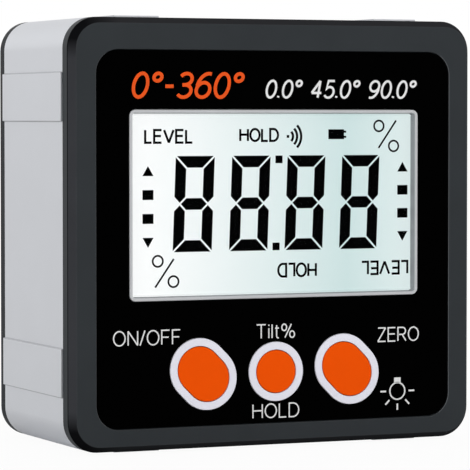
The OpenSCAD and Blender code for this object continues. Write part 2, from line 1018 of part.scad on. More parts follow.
function spring_points(end) = [
    for (i = [0 : spring_turns * spring_rings_a_turn])
        let (
            share = i / (spring_turns * spring_rings_a_turn),
            turn = 360 * i / spring_rings_a_turn,
            radius = spring_base_radius + share * (spring_tip_radius - spring_base_radius),
            rest = spring_wire / 2 + spring_touch_gap,
            run = rest + share * (spring_length - 2 * rest)
        )
        [
            end * (run - tray_length / 2 + contact_thickness),
            front_y + cell_depth + radius * cos(turn),
            middle_height + end * cell_height + radius * sin(turn)
        ]
];

module contact_springs() {
    color("#b9bbbe")
        for (end = [-1, 1])
            wire(spring_points(end), spring_wire);
}

// Contact plate at the left end of one cell, with its tab through the tray's floor
module end_contact(end) {
    color("#c9c6bb") {
        contact_plate(-tray_length / 2, end * cell_height, contact_side);
        slab(tab_tip, cell_depth)
            translate([lead_x, end * cell_height])
                square([contact_thickness, tab_width], center = true);
    }
}

module contact_plate(x, height, length) {
    slab(cell_depth - contact_side / 2, cell_depth + contact_side / 2)
        translate([x, height - length / 2])
            square([contact_thickness, length]);
}

module negative_contact() { end_contact(1); }
module positive_contact() { end_contact(-1); }

module bridge_contact() {
    color("#c9c6bb")
        contact_plate(tray_length / 2 - contact_thickness, 0, 2 * cell_height + contact_side);
}

// Route of a lead, from its contact's tab straight, aside and straight to the board
function lead_points(end) = [
    for (i = [0 : lead_rings])
        let (
            share = i / lead_rings,
            bend = min(1, max(0, (share - lead_straight) / (1 - 2 * lead_straight))),
            aside = bend * bend * (3 - 2 * bend)
        )
        [
            lead_x,
            front_y + tab_tip + share * (board_back - tab_tip),
            middle_height + end * (cell_height + lead_sway * aside)
        ]
];

module red_lead() {
    color("#b5191c")
        wire(lead_points(-1), lead_diameter);
}

module black_lead() {
    color("#17181a")
        wire(lead_points(1), lead_diameter);
}

// Fasteners
module screws(x, z, seat, length, diameter, head_diameter, head_height) {
    color("#a9abae")
        difference() {
            union() {
                slab(seat - length, seat + head_height)
                    mirrored_spots(x, z)
                        circle(d = diameter);
                slab(seat, seat + head_height)
                    mirrored_spots(x, z)
                        circle(d = head_diameter);
            }
            slab(seat + head_height / 2, seat + head_height + cut)
                mirrored_spots(x, z)
                    for (turn = [0, 90])
                        rotate(turn)
                            square([head_diameter - 2 * driver_edge, driver_slot], center = true);
        }
}

module board_screws() {
    screws(
        boss_x, boss_z, board_back, board_screw_length, board_screw_diameter,
        board_head_diameter, board_head_height
    );
}

module case_screws() {
    screws(
        post_x, post_z, screw_seat, case_screw_length, case_screw_diameter,
        case_head_diameter, case_head_height
    );
}

front_bezel();
front_panel();
display_frame();
display_pane();
lcd_segments();
front_polariser();
front_glass();
rear_glass();
rear_polariser();
light_guide();
backlight_lamp();
contact_rubber();
main_board();
controller_chip();
tilt_sensor();
clock_crystal();
chip_capacitors();
sounder();
switch_bases();
power_plunger();
hold_plunger();
zero_plunger();
power_key();
hold_key();
zero_key();
power_collar();
hold_collar();
zero_collar();
board_screws();
extruded_frame();
base_magnets();
back_cover();
battery_door();
upper_cell();
lower_cell();
contact_springs();
negative_contact();
positive_contact();
bridge_contact();
red_lead();
black_lead();
case_screws();
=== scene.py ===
import math

import bmesh
import bpy
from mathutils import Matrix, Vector


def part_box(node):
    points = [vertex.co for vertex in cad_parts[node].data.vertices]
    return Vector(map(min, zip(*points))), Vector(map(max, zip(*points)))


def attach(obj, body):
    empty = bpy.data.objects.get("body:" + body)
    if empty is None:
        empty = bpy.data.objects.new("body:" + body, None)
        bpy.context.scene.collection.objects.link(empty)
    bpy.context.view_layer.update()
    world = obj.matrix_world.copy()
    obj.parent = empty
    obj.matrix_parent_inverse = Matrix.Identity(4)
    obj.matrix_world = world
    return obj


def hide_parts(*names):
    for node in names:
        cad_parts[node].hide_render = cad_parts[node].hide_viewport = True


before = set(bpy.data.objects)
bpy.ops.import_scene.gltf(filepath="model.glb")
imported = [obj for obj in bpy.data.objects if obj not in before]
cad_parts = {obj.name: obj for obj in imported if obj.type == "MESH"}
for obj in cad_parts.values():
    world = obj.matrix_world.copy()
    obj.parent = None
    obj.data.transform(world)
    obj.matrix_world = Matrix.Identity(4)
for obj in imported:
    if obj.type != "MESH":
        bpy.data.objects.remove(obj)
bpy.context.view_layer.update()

# Front bezel. The black front of the case, moulded in one shot of ABS with a finely spark-eroded
# skin and a bevel round its edge. Four long screws from the back pull it against the frame.
MM = 0.001
WELD = 0.001 * MM
FLAT_ANGLE = math.radians(0.5)
SHARP_ANGLE = math.radians(28)
BEZEL_EDGE = 0.12 * MM
BEZEL_COLOUR = (0.026, 0.0303, 0.0338, 1.0)
BEZEL_WEAR_AND_GLINT = (0.06, 0.064, 0.067, 1.0)
SIDE_BEVEL_PAINTED_LIGHT = (0.041, 0.0425, 0.0475, 1.0)
TOP_BEVEL_PAINTED_SHADE = (0.0265, 0.027, 0.0295, 1.0)
FOOT_BEVEL_PAINTED_SHADE = (0.021, 0.022, 0.024, 1.0)
CORNER_BEVEL_PAINTED_SHADE = (0.005, 0.0052, 0.006, 1.0)
EDGE_PAINTED_SHADE = (0.004, 0.0042, 0.0048, 1.0)
LIP_PAINTED_HIGHLIGHT = (0.105, 0.113, 0.12, 1.0)
BEVEL_DEPTH = 1.45 * MM
LIP_DEPTH = 0.45 * MM
FACE_TURN = -0.9
EDGE_TURN = -0.45
SIDE_TURN = -0.03
LIP_TURN = 0.4
PAINTED_BEVEL_SLOT = 1
PAINTED_EDGE_SLOT = 2
PAINTED_LIP_SLOT = 3
ROUNDED = 1
FLAT_WEIGHT = 100
RUB_POLISH = 0.1
PATCH_RANGE = (0.3, 0.7)
BREAK_RANGE = (0.35, 0.65)
LEAST_WEAR_AND_GLINT = 0.25
# The bevel's painted light and shade change over these lengths about its corner arcs, in millimetres.
CORNER_RADIUS = 4.4
RISE_BEFORE = 1.5
RISE_AFTER = 1.3
LEFT_BEFORE = 3.0
LEFT_AFTER = 2.0


def softened(name, radius, steps=3):
    """A closed copy of a CAD piece, in its place, with its sharp edges rounded."""
    work = bmesh.new()
    work.from_mesh(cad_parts[name].data)
    bmesh.ops.remove_doubles(work, verts=work.verts, dist=WELD)
    bmesh.ops.dissolve_limit(work, angle_limit=FLAT_ANGLE, verts=work.verts, edges=work.edges)
    mesh = bpy.data.meshes.new(name + "_rough")
    work.to_mesh(mesh)
    work.free()
    mesh.shade_smooth()
    # Two empty slots let the rounding mark its faces with the second.
    mesh.materials.append(None)
    mesh.materials.append(None)
    piece = bpy.data.objects.new(name + "_finished", mesh)
    bpy.context.scene.collection.objects.link(piece)
    rounding = piece.modifiers.new("rounded_edges", "BEVEL")
    rounding.width = radius
    rounding.segments = steps
    rounding.limit_method = "ANGLE"
    rounding.angle_limit = SHARP_ANGLE
    rounding.use_clamp_overlap = False
    rounding.material = ROUNDED
    flattening = piece.modifiers.new("flat_faces", "WEIGHTED_NORMAL")
    flattening.weight = FLAT_WEIGHT
    ready = piece.evaluated_get(bpy.context.evaluated_depsgraph_get())
    piece.data = bpy.data.meshes.new_from_object(ready)
    piece.data.name = name + "_finished"
    piece.modifiers.clear()
    bpy.data.meshes.remove(mesh)
    note_edges(piece.data)
    piece.data.materials.clear()
    piece.data.polygons.foreach_set("material_index", [0] * len(piece.data.polygons))
    return piece


def note_edges(mesh):
    """Writes an attribute that is 1 on the rounded outer edges, where hands rub them and a highlight is
    painted, and 0 elsewhere.
    """
    work = bmesh.new()
    work.from_mesh(mesh)
    marks = []
    for side in work.faces:
        fold = sum(edge.calc_face_angle_signed(0.0) for edge in side.edges)
        marks.append(float(side.material_index == ROUNDED and fold > 0.0))
    work.free()
    mesh.attributes.new("edge", "FLOAT", "FACE").data.foreach_set("value", marks)


def place(tree, kind, inputs=None, **settings):
    """A node in a tree, with its settings made and its inputs set to values or linked to sockets."""
    made = tree.nodes.new(kind)
    for key, value in settings.items():
        setattr(made, key, value)
    for key, value in (inputs or {}).items():
        if isinstance(value, bpy.types.NodeSocket):
            tree.links.new(value, made.inputs[key])
        else:
            made.inputs[key].default_value = value
    return made


def maths(tree, operation, first, second=0.0):
    return place(tree, "ShaderNodeMath", {0: first, 1: second}, operation=operation).outputs[0]


def spread(tree, value, start, end, low=0.0, high=1.0):
    """A value moved from one range to another, and held inside it."""
    ranges = {"Value": value, "From Min": start, "From Max": end, "To Min": low, "To Max": high}
    return place(tree, "ShaderNodeMapRange", ranges).outputs[0]


def mixed(tree, share, first, second):
    return place(tree, "ShaderNodeMix", {0: share, 6: first, 7: second}, data_type="RGBA").outputs[2]


def new_group(name, inputs, outputs):
    """An empty shader group with float sockets, and its inner input and output nodes."""
    group = bpy.data.node_groups.new(name, "ShaderNodeTree")
    for label, value in inputs.items():
        socket = group.interface.new_socket(label, in_out="INPUT", socket_type="NodeSocketFloat")
        socket.default_value = value
    for label in outputs:
        group.interface.new_socket(label, in_out="OUTPUT", socket_type="NodeSocketFloat")
    return group, place(group, "NodeGroupInput").outputs, place(group, "NodeGroupOutput").inputs


def in_millimetres(tree):
    where = place(tree, "ShaderNodeTexCoord").outputs["Object"]
    return place(tree, "ShaderNodeVectorMath", {0: where, "Scale": 1 / MM}, operation="SCALE").outputs[0]


def make_surface_grain():
    """Fine grain as a height, and slow patches as a value, both in millimetres on the piece."""
    group, enter, leave = new_group("surface_grain", {"Grain": 0.1, "Patch": 6.0}, ("Height", "Patches"))
    where = in_millimetres(group)
    fine = maths(group, "DIVIDE", 1.0, enter["Grain"])
    slow = maths(group, "DIVIDE", 1.0, enter["Patch"])
    grain = place(group, "ShaderNodeTexNoise", {"Vector": where, "Scale": fine, "Detail": 2.0})
    patch = place(group, "ShaderNodeTexNoise", {"Vector": where, "Scale": slow, "Detail": 4.0})
    group.links.new(grain.outputs["Fac"], leave["Height"])
    group.links.new(spread(group, patch.outputs["Fac"], *PATCH_RANGE), leave["Patches"])
    return group


def make_edge_wear_and_glint():
    """A broken mask along the outer edges, where a piece is rubbed bright: worn, and with a painted
    highlight.
    """
    group, enter, leave = new_group("edge_wear_and_glint", {"Amount": 0.5, "Break": 1.5}, ("Mask",))
    edge = place(group, "ShaderNodeAttribute", attribute_name="edge").outputs["Fac"]
    breaks = maths(group, "DIVIDE", 1.0, enter["Break"])
    where = in_millimetres(group)
    noise = place(group, "ShaderNodeTexNoise", {"Vector": where, "Scale": breaks, "Detail": 5.0})
    broken = spread(group, noise.outputs["Fac"], *BREAK_RANGE, LEAST_WEAR_AND_GLINT, 1.0)
    mask = maths(group, "MULTIPLY", maths(group, "MULTIPLY", edge, broken), enter["Amount"])
    group.links.new(mask, leave["Mask"])
    return group


SURFACE_GRAIN = make_surface_grain()
EDGE_WEAR_AND_GLINT = make_edge_wear_and_glint()


def skin(name, colour, roughness, grain=0.12, relief=0.006, patch=7.0, drift=0.1, sway=0.04,
         metallic=0.0, specular=0.5, wear_glint_colour=None, wear_glint_amount=0.5):
    """A material with grained relief, slow drifts of colour and gloss, and edges rubbed to a colour that is
    both wear and a painted highlight.

    The widths of the grain and the patches and the depth of the relief are in millimetres."""
    material = bpy.data.materials.new(name)
    material.use_nodes = True
    tree = material.node_tree
    shader = tree.nodes["Principled BSDF"]
    texture = place(tree, "ShaderNodeGroup", node_tree=SURFACE_GRAIN)
    texture.inputs["Grain"].default_value = grain
    texture.inputs["Patch"].default_value = patch
    patches = texture.outputs["Patches"]
    dark = [part * (1 - drift) for part in colour[:3]] + [1.0]
    light = [min(part * (1 + drift), 1.0) for part in colour[:3]] + [1.0]
    base = mixed(tree, patches, dark, light)
    gloss = spread(tree, patches, 0.0, 1.0, roughness - sway, roughness + sway)
    # The rubbed edges are wear, and their bright colour is also a painted highlight.
    if wear_glint_colour:
        wear_and_glint_mask = place(tree, "ShaderNodeGroup", node_tree=EDGE_WEAR_AND_GLINT)
        wear_and_glint_mask.inputs["Amount"].default_value = wear_glint_amount
        base = mixed(tree, wear_and_glint_mask.outputs["Mask"], base, wear_glint_colour)
        gloss = maths(tree, "SUBTRACT", gloss, maths(tree, "MULTIPLY", wear_and_glint_mask.outputs["Mask"], RUB_POLISH))
    bump = place(tree, "ShaderNodeBump", {"Height": texture.outputs["Height"], "Distance": relief * MM})
    tree.links.new(base, shader.inputs["Base Color"])
    tree.links.new(gloss, shader.inputs["Roughness"])
    tree.links.new(bump.outputs["Normal"], shader.inputs["Normal"])
    shader.inputs["Metallic"].default_value = metallic
    shader.inputs["Specular IOR Level"].default_value = specular
    return material


def dress(material, *names):
    """Gives CAD pieces that keep their own mesh a material."""
    for name in names:
        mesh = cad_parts[name].data
        mesh.materials.clear()
        mesh.materials.append(material)


def stand_in(piece, material, body, slot, *names):
    """A finished piece in its material takes the place of CAD pieces and moves with their body."""
    piece.data.materials.clear()
    piece.data.materials.append(material)
    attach(piece, body)
    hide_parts(*names)


bezel_low, bezel_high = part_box("front_bezel")
case_middle = (bezel_low[2] + bezel_high[2]) / 2
# Its rubbed edges are wear with a painted highlight on them.
bezel_plastic = skin("bezel_plastic", BEZEL_COLOUR, 0.45, grain=0.14, relief=0.004, drift=0.06,
                     specular=0.1, wear_glint_colour=BEZEL_WEAR_AND_GLINT, wear_glint_amount=0.3)
# The bevel is painted with light and shade: lighter on its sides, darker along the top, darker still along
# the foot and darkest round the left corners.
bevel_painted_shade = skin("bevel_painted_shade", SIDE_BEVEL_PAINTED_LIGHT, 0.5, grain=0.2, relief=0.004, drift=0.06, specular=0.0)
bevel_tree = bevel_painted_shade.node_tree
bevel_shader = bevel_tree.nodes["Principled BSDF"]
bevel_at = place(bevel_tree, "ShaderNodeSeparateXYZ", {0: in_millimetres(bevel_tree)}).outputs
rise = maths(bevel_tree, "SUBTRACT", bevel_at["Z"], case_middle / MM)
arc_height = (bezel_high[2] - case_middle) / MM - CORNER_RADIUS
arc_width = bezel_high[0] / MM - CORNER_RADIUS
from_middle = maths(bevel_tree, "ABSOLUTE", rise)
past_side = spread(bevel_tree, from_middle, arc_height - RISE_BEFORE, arc_height + RISE_AFTER)
near_left = spread(bevel_tree, bevel_at["X"], LEFT_BEFORE - arc_width, -LEFT_AFTER - arc_width)
ends = mixed(bevel_tree, maths(bevel_tree, "GREATER_THAN", rise, 0.0), FOOT_BEVEL_PAINTED_SHADE, TOP_BEVEL_PAINTED_SHADE)
plain = bevel_shader.inputs["Base Color"].links[0].from_socket
corner_painted_shade = mixed(bevel_tree, near_left, ends, CORNER_BEVEL_PAINTED_SHADE)
bevel_tree.links.new(mixed(bevel_tree, past_side, plain, corner_painted_shade), bevel_shader.inputs["Base Color"])
# A near black painted shade for the thin line at the bevel's outer edge and for the left and right walls of
# the panel's opening.
edge_painted_shade = skin("edge_painted_shade", EDGE_PAINTED_SHADE, 0.5, grain=0.2, relief=0.004, specular=0.0)
# A painted highlight on the rounding along the left and right edges of the panel's opening.
lip_painted_highlight = skin("lip_painted_highlight", LIP_PAINTED_HIGHLIGHT, 0.4, grain=0.2, relief=0.003, specular=0.2)
bezel = softened("front_bezel", BEZEL_EDGE)
stand_in(bezel, bezel_plastic, "case", "bezel_plastic", "front_bezel")
for finish in (bevel_painted_shade, edge_painted_shade, lip_painted_highlight):
    bezel.data.materials.append(finish)
# The outer bevel takes the painted light and shade, with a painted dark line at its outer edge. Round the
# panel's opening, the rounding takes a painted highlight and the side walls a painted dark shade.
for side in bezel.data.polygons:
    x, y, z = side.normal
    depth = side.center.y - bezel_low[1]
    outward = x * side.center.x + z * (side.center.z - case_middle) > 0.0
    if outward and depth < BEVEL_DEPTH and FACE_TURN < y < SIDE_TURN:
        side.material_index = PAINTED_BEVEL_SLOT if y < EDGE_TURN else PAINTED_EDGE_SLOT
    elif not outward and depth < LIP_DEPTH and abs(x) > LIP_TURN:
        side.material_index = PAINTED_LIP_SLOT if y < SIDE_TURN else PAINTED_EDGE_SLOT

# Front panel and its print. A thin black sheet of polyester glued into the bezel's recess, with the
# key labels, the lamp mark and a plain angle scale screen-printed on it in white and orange ink.
INK = 0.02 * MM
LAYER = 0.002 * MM
INK_WHITE = (0.74, 0.74, 0.74, 1.0)
INK_ORANGE = (0.78, 0.08, 0.002, 1.0)
PANEL_COLOUR = (0.0006, 0.0006, 0.0006, 1.0)
LABEL_LINE = 0.19
SCALE_LINE = 0.34
RANGE_LINE = 0.5
TITLE_SLANT = 0.2
LETTER_GAP = 0.21
MITRE_LIMIT = 0.5
# Each print has its words, the place of its middle on the front and its overall size, in millimetres.
RANGE_PRINT = ("0°-360°", (-13.65, 20.98), (17.7, 3.84))
SCALE_PRINT = ("0.0° 45.0° 90.0°", (10.4, 20.5), (24.5, 2.74))
LABELS = (
    ("ON/OFF", (-19.95, -14.5), (10.3, 2.2)),
    ("Tilt%", (-0.05, -14.12), (6.15, 2.14)),
    ("HOLD", (0.0, -25.52), (7.4, 2.15)),
    ("ZERO", (19.62, -15.13), (6.8, 2.15)),
)
panel_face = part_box("front_panel")[0][1]


def case_piece(name, work, material):
    """A piece made from loose faces: welded, turned outwards and riding on the case."""
    bmesh.ops.remove_doubles(work, verts=work.verts, dist=WELD)
    bmesh.ops.recalc_face_normals(work, faces=work.faces)
    mesh = bpy.data.meshes.new(name)
    work.to_mesh(mesh)
    work.free()
    mesh.materials.append(material)
    piece = bpy.data.objects.new(name, mesh)
    bpy.context.scene.collection.objects.link(piece)
    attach(piece, "case")
    return piece


def stroke(work, points, line, face, layer=0):
    """A line of ink of one width through points in millimetres on the front, or round a closed ring.

    Each layer lies a little higher than the one below, so that crossing lines don't share a face."""
    top = INK + layer * LAYER
    closed = math.dist(points[0], points[-1]) < WELD
    if closed:
        points = points[:-1]
    count = len(points)
    rows = []
    for index, point in enumerate(points):
        stops = [points[index - 1]] if index or closed else []
        stops.append(point)
        if closed or index + 1 < count:
            stops.append(points[(index + 1) % count])
        legs = [(Vector(b) - Vector(a)).normalized() for a, b in zip(stops, stops[1:])]
        run = (legs[0] + legs[-1]).normalized()
        reach = line / 2 / max(run.dot(legs[0]), MITRE_LIMIT)
        row = []
        for sign, lift in ((1, 0.0), (-1, 0.0), (-1, top), (1, top)):
            x = (point[0] - sign * run.y * reach) * MM
            z = case_middle + (point[1] + sign * run.x * reach) * MM
            row.append(work.verts.new((x, face - lift, z)))
        rows.append(row)
    for index in range(count if closed else count - 1):
        first, second = rows[index], rows[(index + 1) % count]
        for corner in range(4):
            following = (corner + 1) % 4
            work.faces.new((first[corner], first[following], second[following], second[corner]))
    if not closed:
        work.faces.new(rows[0])
        work.faces.new(rows[-1])


def arc(middle, radii, start, end, steps):
    """Points along an ellipse about a middle, from one angle to another in degrees from the right."""
    turns = [math.radians(start + (end - start) * step / steps) for step in range(steps + 1)]
    return [
        (middle[0] + radii[0] * math.cos(turn), middle[1] + radii[1] * math.sin(turn)) for turn in turns]


# Plain letters, numbers and signs drawn as strokes, one unit high: each has its width and its lines.
GLYPHS = {
    "0": (0.56, [arc((0.28, 0.5), (0.28, 0.5), 0, 360, 24)]),
    "3": (0.54, [arc((0.25, 0.76), (0.25, 0.24), 150, -90, 14) + [(0.14, 0.52)],
                 [(0.14, 0.52)] + arc((0.26, 0.26), (0.28, 0.26), 90, -150, 16)]),
    "4": (0.6, [[(0.42, 0), (0.42, 1)], [(0.42, 1), (0, 0.28)], [(0, 0.28), (0.6, 0.28)]]),
    "5": (0.55, [[(0.5, 1), (0.12, 1), (0.07, 0.52)] + arc((0.26, 0.32), (0.29, 0.32), 118, -150, 14)]),
    "6": (0.56, [arc((0.28, 0.31), (0.28, 0.31), 0, 360, 22),
                 arc((0.42, 0.36), (0.42, 0.64), 75, 170, 10)]),
    "9": (0.56, [arc((0.28, 0.69), (0.28, 0.31), 0, 360, 22),
                 arc((0.14, 0.64), (0.42, 0.64), -105, -10, 10)]),
    "°": (0.32, [arc((0.16, 0.84), (0.16, 0.16), 0, 360, 18)]),
    ".": (0.02, [[(0.01, 0), (0.01, 0.1)]]),
    "-": (0.34, [[(0, 0.46), (0.34, 0.46)]]),
    "/": (0.26, [[(-0.04, -0.02), (0.3, 1.02)]]),
    "%": (0.9, [[(0.22, 0), (0.68, 1)], arc((0.17, 0.76), (0.17, 0.24), 0, 360, 18),
                arc((0.73, 0.24), (0.17, 0.24), 0, 360, 18)]),
    "D": (0.68, [[(0, 0), (0, 1), (0.28, 1)] + arc((0.28, 0.5), (0.4, 0.5), 84, -84, 14)
                 + [(0.28, 0), (0, 0)]]),
    "E": (0.58, [[(0.58, 1), (0, 1), (0, 0), (0.58, 0)], [(0, 0.53), (0.53, 0.53)]]),
    "F": (0.54, [[(0.54, 1), (0, 1), (0, 0)], [(0, 0.51), (0.47, 0.51)]]),
    "H": (0.66, [[(0, 0), (0, 1)], [(0.66, 0), (0.66, 1)], [(0, 0.53), (0.66, 0.53)]]),
    "L": (0.5, [[(0, 1), (0, 0), (0.5, 0)]]),
    "N": (0.66, [[(0, 0), (0, 1)], [(0, 1), (0.66, 0)], [(0.66, 0), (0.66, 1)]]),
    "O": (0.8, [arc((0.4, 0.5), (0.4, 0.5), 0, 360, 28)]),
    "R": (0.64, [[(0, 0), (0, 1), (0.36, 1)] + arc((0.36, 0.74), (0.25, 0.26), 80, -80, 10)
                 + [(0.36, 0.48), (0, 0.48)],
                 [(0.34, 0.48), (0.64, 0)]]),
    "T": (0.64, [[(0, 1), (0.64, 1)], [(0.32, 1), (0.32, 0)]]),
    "V": (0.74, [[(0, 1), (0.37, 0)], [(0.37, 0), (0.74, 1)]]),
    "Z": (0.62, [[(0.02, 1), (0.62, 1)], [(0.62, 1), (0, 0)], [(0, 0), (0.62, 0)]]),
    "i": (0.02, [[(0.01, 0), (0.01, 0.72)], [(0.01, 0.9), (0.01, 1)]]),
    "l": (0.02, [[(0.01, 0), (0.01, 1)]]),
    "t": (0.26, [[(0.1, 0.94), (0.1, 0.16)] + arc((0.22, 0.13), (0.12, 0.13), 190, 285, 6),
                 [(0, 0.72), (0.26, 0.72)]]),
    " ": (0.3, []),
}


def letter(work, words, middle, size, line, face, slant=0.0, turned=False):
    """Words in strokes of ink, fitted to a middle and an overall size in millimetres on the front."""
    length = sum(GLYPHS[sign][0] for sign in words) + LETTER_GAP * (len(words) - 1)
    high = size[1] - line
    wide = (size[0] - line - slant * high) / length
    facing = -1 if turned else 1
    start = -length / 2
    for sign in words:
        width, lines = GLYPHS[sign]
        for layer, points in enumerate(lines):
            stroke(work, [
                (middle[0] + facing * ((start + x) * wide + slant * (y - 0.5) * high),
                 middle[1] + facing * (y - 0.5) * high) for x, y in points], line, face, layer)
        start += width + LETTER_GAP


panel_sheet = skin("panel_sheet", PANEL_COLOUR, 0.3, grain=0.5, relief=0.001, patch=11.0, specular=0.0)
dress(panel_sheet, "front_panel")
white_ink = skin("white_ink", INK_WHITE, 0.55, grain=0.1, relief=0.002, patch=2.0, drift=0.03, specular=0.2)
orange_ink = skin("orange_ink", INK_ORANGE, 0.55, grain=0.1, relief=0.002, patch=2.0, drift=0.06,
                  specular=0.2)

range_print = bmesh.new()
letter(range_print, *RANGE_PRINT, RANGE_LINE, panel_face, slant=TITLE_SLANT)
case_piece("range_print", range_print, orange_ink)

white_print = bmesh.new()
letter(white_print, *SCALE_PRINT, SCALE_LINE, panel_face, slant=TITLE_SLANT)
for label in LABELS:
    letter(white_print, *label, LABEL_LINE, panel_face)
case_piece("label_print", white_print, white_ink)

# The lamp mark beside the right key, printed with the labels: a ring for the bulb, a cap above it
# and five even rays below.
LAMP_MIDDLE = (19.51, -23.43)
LAMP_RADIUS = 1.22
LAMP_STROKE = 0.22
RAY_LENGTH = 0.93
RAY_WIDTH = 0.25
RAY_REACH = 2.3
RAY_COUNT = 5
CAP_WIDTH = 1.06
CAP_HEIGHT = 0.76
CAP_LIFT = 1.6


def make_lamp_tree():
    """Geometry nodes for a flat lamp mark: ring, cap and rays, one layer of ink thick."""
    tree = bpy.data.node_groups.new("lamp_mark", "GeometryNodeTree")
    sizes = {"Radius": LAMP_RADIUS, "Stroke": LAMP_STROKE, "Ray Length": RAY_LENGTH, "Ray Width": RAY_WIDTH,
             "Ray Reach": RAY_REACH, "Cap Width": CAP_WIDTH, "Cap Height": CAP_HEIGHT, "Cap Lift": CAP_LIFT}
    for label in sizes:
        tree.interface.new_socket(label, in_out="INPUT", socket_type="NodeSocketFloat")
    tree.interface.new_socket("Ray Count", in_out="INPUT", socket_type="NodeSocketInt")
    tree.interface.new_socket("Ink", in_out="INPUT", socket_type="NodeSocketFloat")
    tree.interface.new_socket("Material", in_out="INPUT", socket_type="NodeSocketMaterial")
    tree.interface.new_socket("Geometry", in_out="OUTPUT", socket_type="NodeSocketGeometry")
    enter = place(tree, "NodeGroupInput").outputs
    circle = place(tree, "GeometryNodeCurvePrimitiveCircle", {"Resolution": 40, "Radius": enter["Radius"]})
    profile = place(tree, "GeometryNodeCurvePrimitiveQuadrilateral",
                    {"Width": enter["Stroke"], "Height": enter["Ink"]})
    ring = place(tree, "GeometryNodeCurveToMesh",
                 {"Curve": circle.outputs[0], "Profile Curve": profile.outputs[0]})
    fan = place(tree, "GeometryNodeCurveArc", {
        "Resolution": enter["Ray Count"], "Radius": enter["Ray Reach"],
        "Start Angle": math.pi, "Sweep Angle": math.pi})
    ends = place(tree, "GeometryNodeCurveToPoints", {"Curve": fan.outputs[0]}, mode="EVALUATED")
    ray_size = place(tree, "ShaderNodeCombineXYZ",
                     {0: enter["Ray Length"], 1: enter["Ray Width"], 2: enter["Ink"]})
    ray = place(tree, "GeometryNodeMeshCube", {"Size": ray_size.outputs[0]})
    outward = place(tree, "FunctionNodeAlignRotationToVector",
                    {"Vector": place(tree, "GeometryNodeInputPosition").outputs[0]}, axis="X")
    rays = place(tree, "GeometryNodeInstanceOnPoints", {
        "Points": ends.outputs["Points"], "Instance": ray.outputs["Mesh"], "Rotation": outward.outputs[0]})
    cap_size = place(tree, "ShaderNodeCombineXYZ",
                     {0: enter["Cap Width"], 1: enter["Cap Height"], 2: enter["Ink"]})
    cap = place(tree, "GeometryNodeMeshCube", {"Size": cap_size.outputs[0]})
    lift = place(tree, "ShaderNodeCombineXYZ", {1: enter["Cap Lift"]})
    raised = place(tree, "GeometryNodeTransform",
                   {"Geometry": cap.outputs["Mesh"], "Translation": lift.outputs[0]})
    joined = place(tree, "GeometryNodeJoinGeometry")
    for part in (ring.outputs[0], rays.outputs[0], raised.outputs[0]):
        tree.links.new(part, joined.inputs[0])
    solid = place(tree, "GeometryNodeRealizeInstances", {"Geometry": joined.outputs[0]})
    inked = place(tree, "GeometryNodeSetMaterial",
                  {"Geometry": solid.outputs[0], "Material": enter["Material"]})
    tree.links.new(inked.outputs[0], place(tree, "NodeGroupOutput").inputs[0])
    return tree, sizes


def grown(name, tree, values):
    """The plain mesh that a geometry tree makes from named input values."""
    holder = bpy.data.objects.new(name, bpy.data.meshes.new(name + "_seed"))
    bpy.context.scene.collection.objects.link(holder)
    growth = holder.modifiers.new(name, "NODES")
    growth.node_group = tree
    for item in tree.interface.items_tree:
        if item.in_out == "INPUT" and item.name in values:
            growth[item.identifier] = values[item.name]
    ready = holder.evaluated_get(bpy.context.evaluated_depsgraph_get())
    seed = holder.data
    holder.data = bpy.data.meshes.new_from_object(ready)
    holder.modifiers.clear()
    bpy.data.meshes.remove(seed)
    return holder


lamp_tree, lamp_sizes = make_lamp_tree()
lamp_mark = grown("lamp_mark", lamp_tree,
                  {**{label: size * MM for label, size in lamp_sizes.items()},
                   "Ray Count": RAY_COUNT, "Ink": INK, "Material": white_ink})
for point in lamp_mark.data.vertices:
    x, z, lift = point.co
    point.co = (x + LAMP_MIDDLE[0] * MM, panel_face - INK / 2 - lift, z + case_middle + LAMP_MIDDLE[1] * MM)
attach(lamp_mark, "case")

# Display. A pale grey moulded frame holds a clear window, and behind it a liquid crystal cell: two
# glasses between polariser sheets, lit from behind by a light guide and joined to the board by rubber.
RIM_EDGE = 0.1 * MM
RIM_COLOUR = (0.5, 0.51, 0.525, 1.0)
RIM_PAINTED_SHADE = (0.31, 0.32, 0.335, 1.0)
SHEET_BRIGHT = (0.96, 0.98, 0.98, 1.0)
SHEET_PAINTED_SHADE = (0.6, 0.75, 0.745, 1.0)
SHEET_GLOW = 0.8
SHEET_SHARE = 0.25
BLACK = (0.0, 0.0, 0.0, 1.0)
IMAGE_COLOUR = (0.0004, 0.0005, 0.0006, 1.0)
PANE_COLOUR = (0.02, 0.022, 0.022, 1.0)
PANE_ALPHA = 0.012
GLASS_COLOUR = (0.7, 0.78, 0.76, 1.0)
GLASS_ALPHA = 0.4
GUIDE_COLOUR = (0.82, 0.84, 0.82, 1.0)
RUBBER_COLOUR = (0.06, 0.06, 0.07, 1.0)
PAINTED_SHADE_SLOT = 1
PAINTED_GLOW_SLOT = 2
# The sheet's painted shade grows and then halves between these places across the front, in millimetres.
SHADE_START = -19.0
SHADE_END = 12.0
SHADE_RETURN = 26.0
SHADE_LEFT = 0.5

clear_pane = skin("clear_pane", PANE_COLOUR, 0.08, grain=0.8, relief=0.0005, specular=0.5)
clear_pane.node_tree.nodes["Principled BSDF"].inputs["Alpha"].default_value = PANE_ALPHA
dress(clear_pane, "display_pane")

display_image = skin("display_image", IMAGE_COLOUR, 0.5, grain=0.2, relief=0.001, specular=0.0)
dress(display_image, "lcd_segments")

lit_sheet = skin("display_sheet", SHEET_BRIGHT, 0.5, grain=0.15, relief=0.001, drift=0.01, specular=0.1)
sheet_tree = lit_sheet.node_tree
sheet_shader = sheet_tree.nodes["Principled BSDF"]
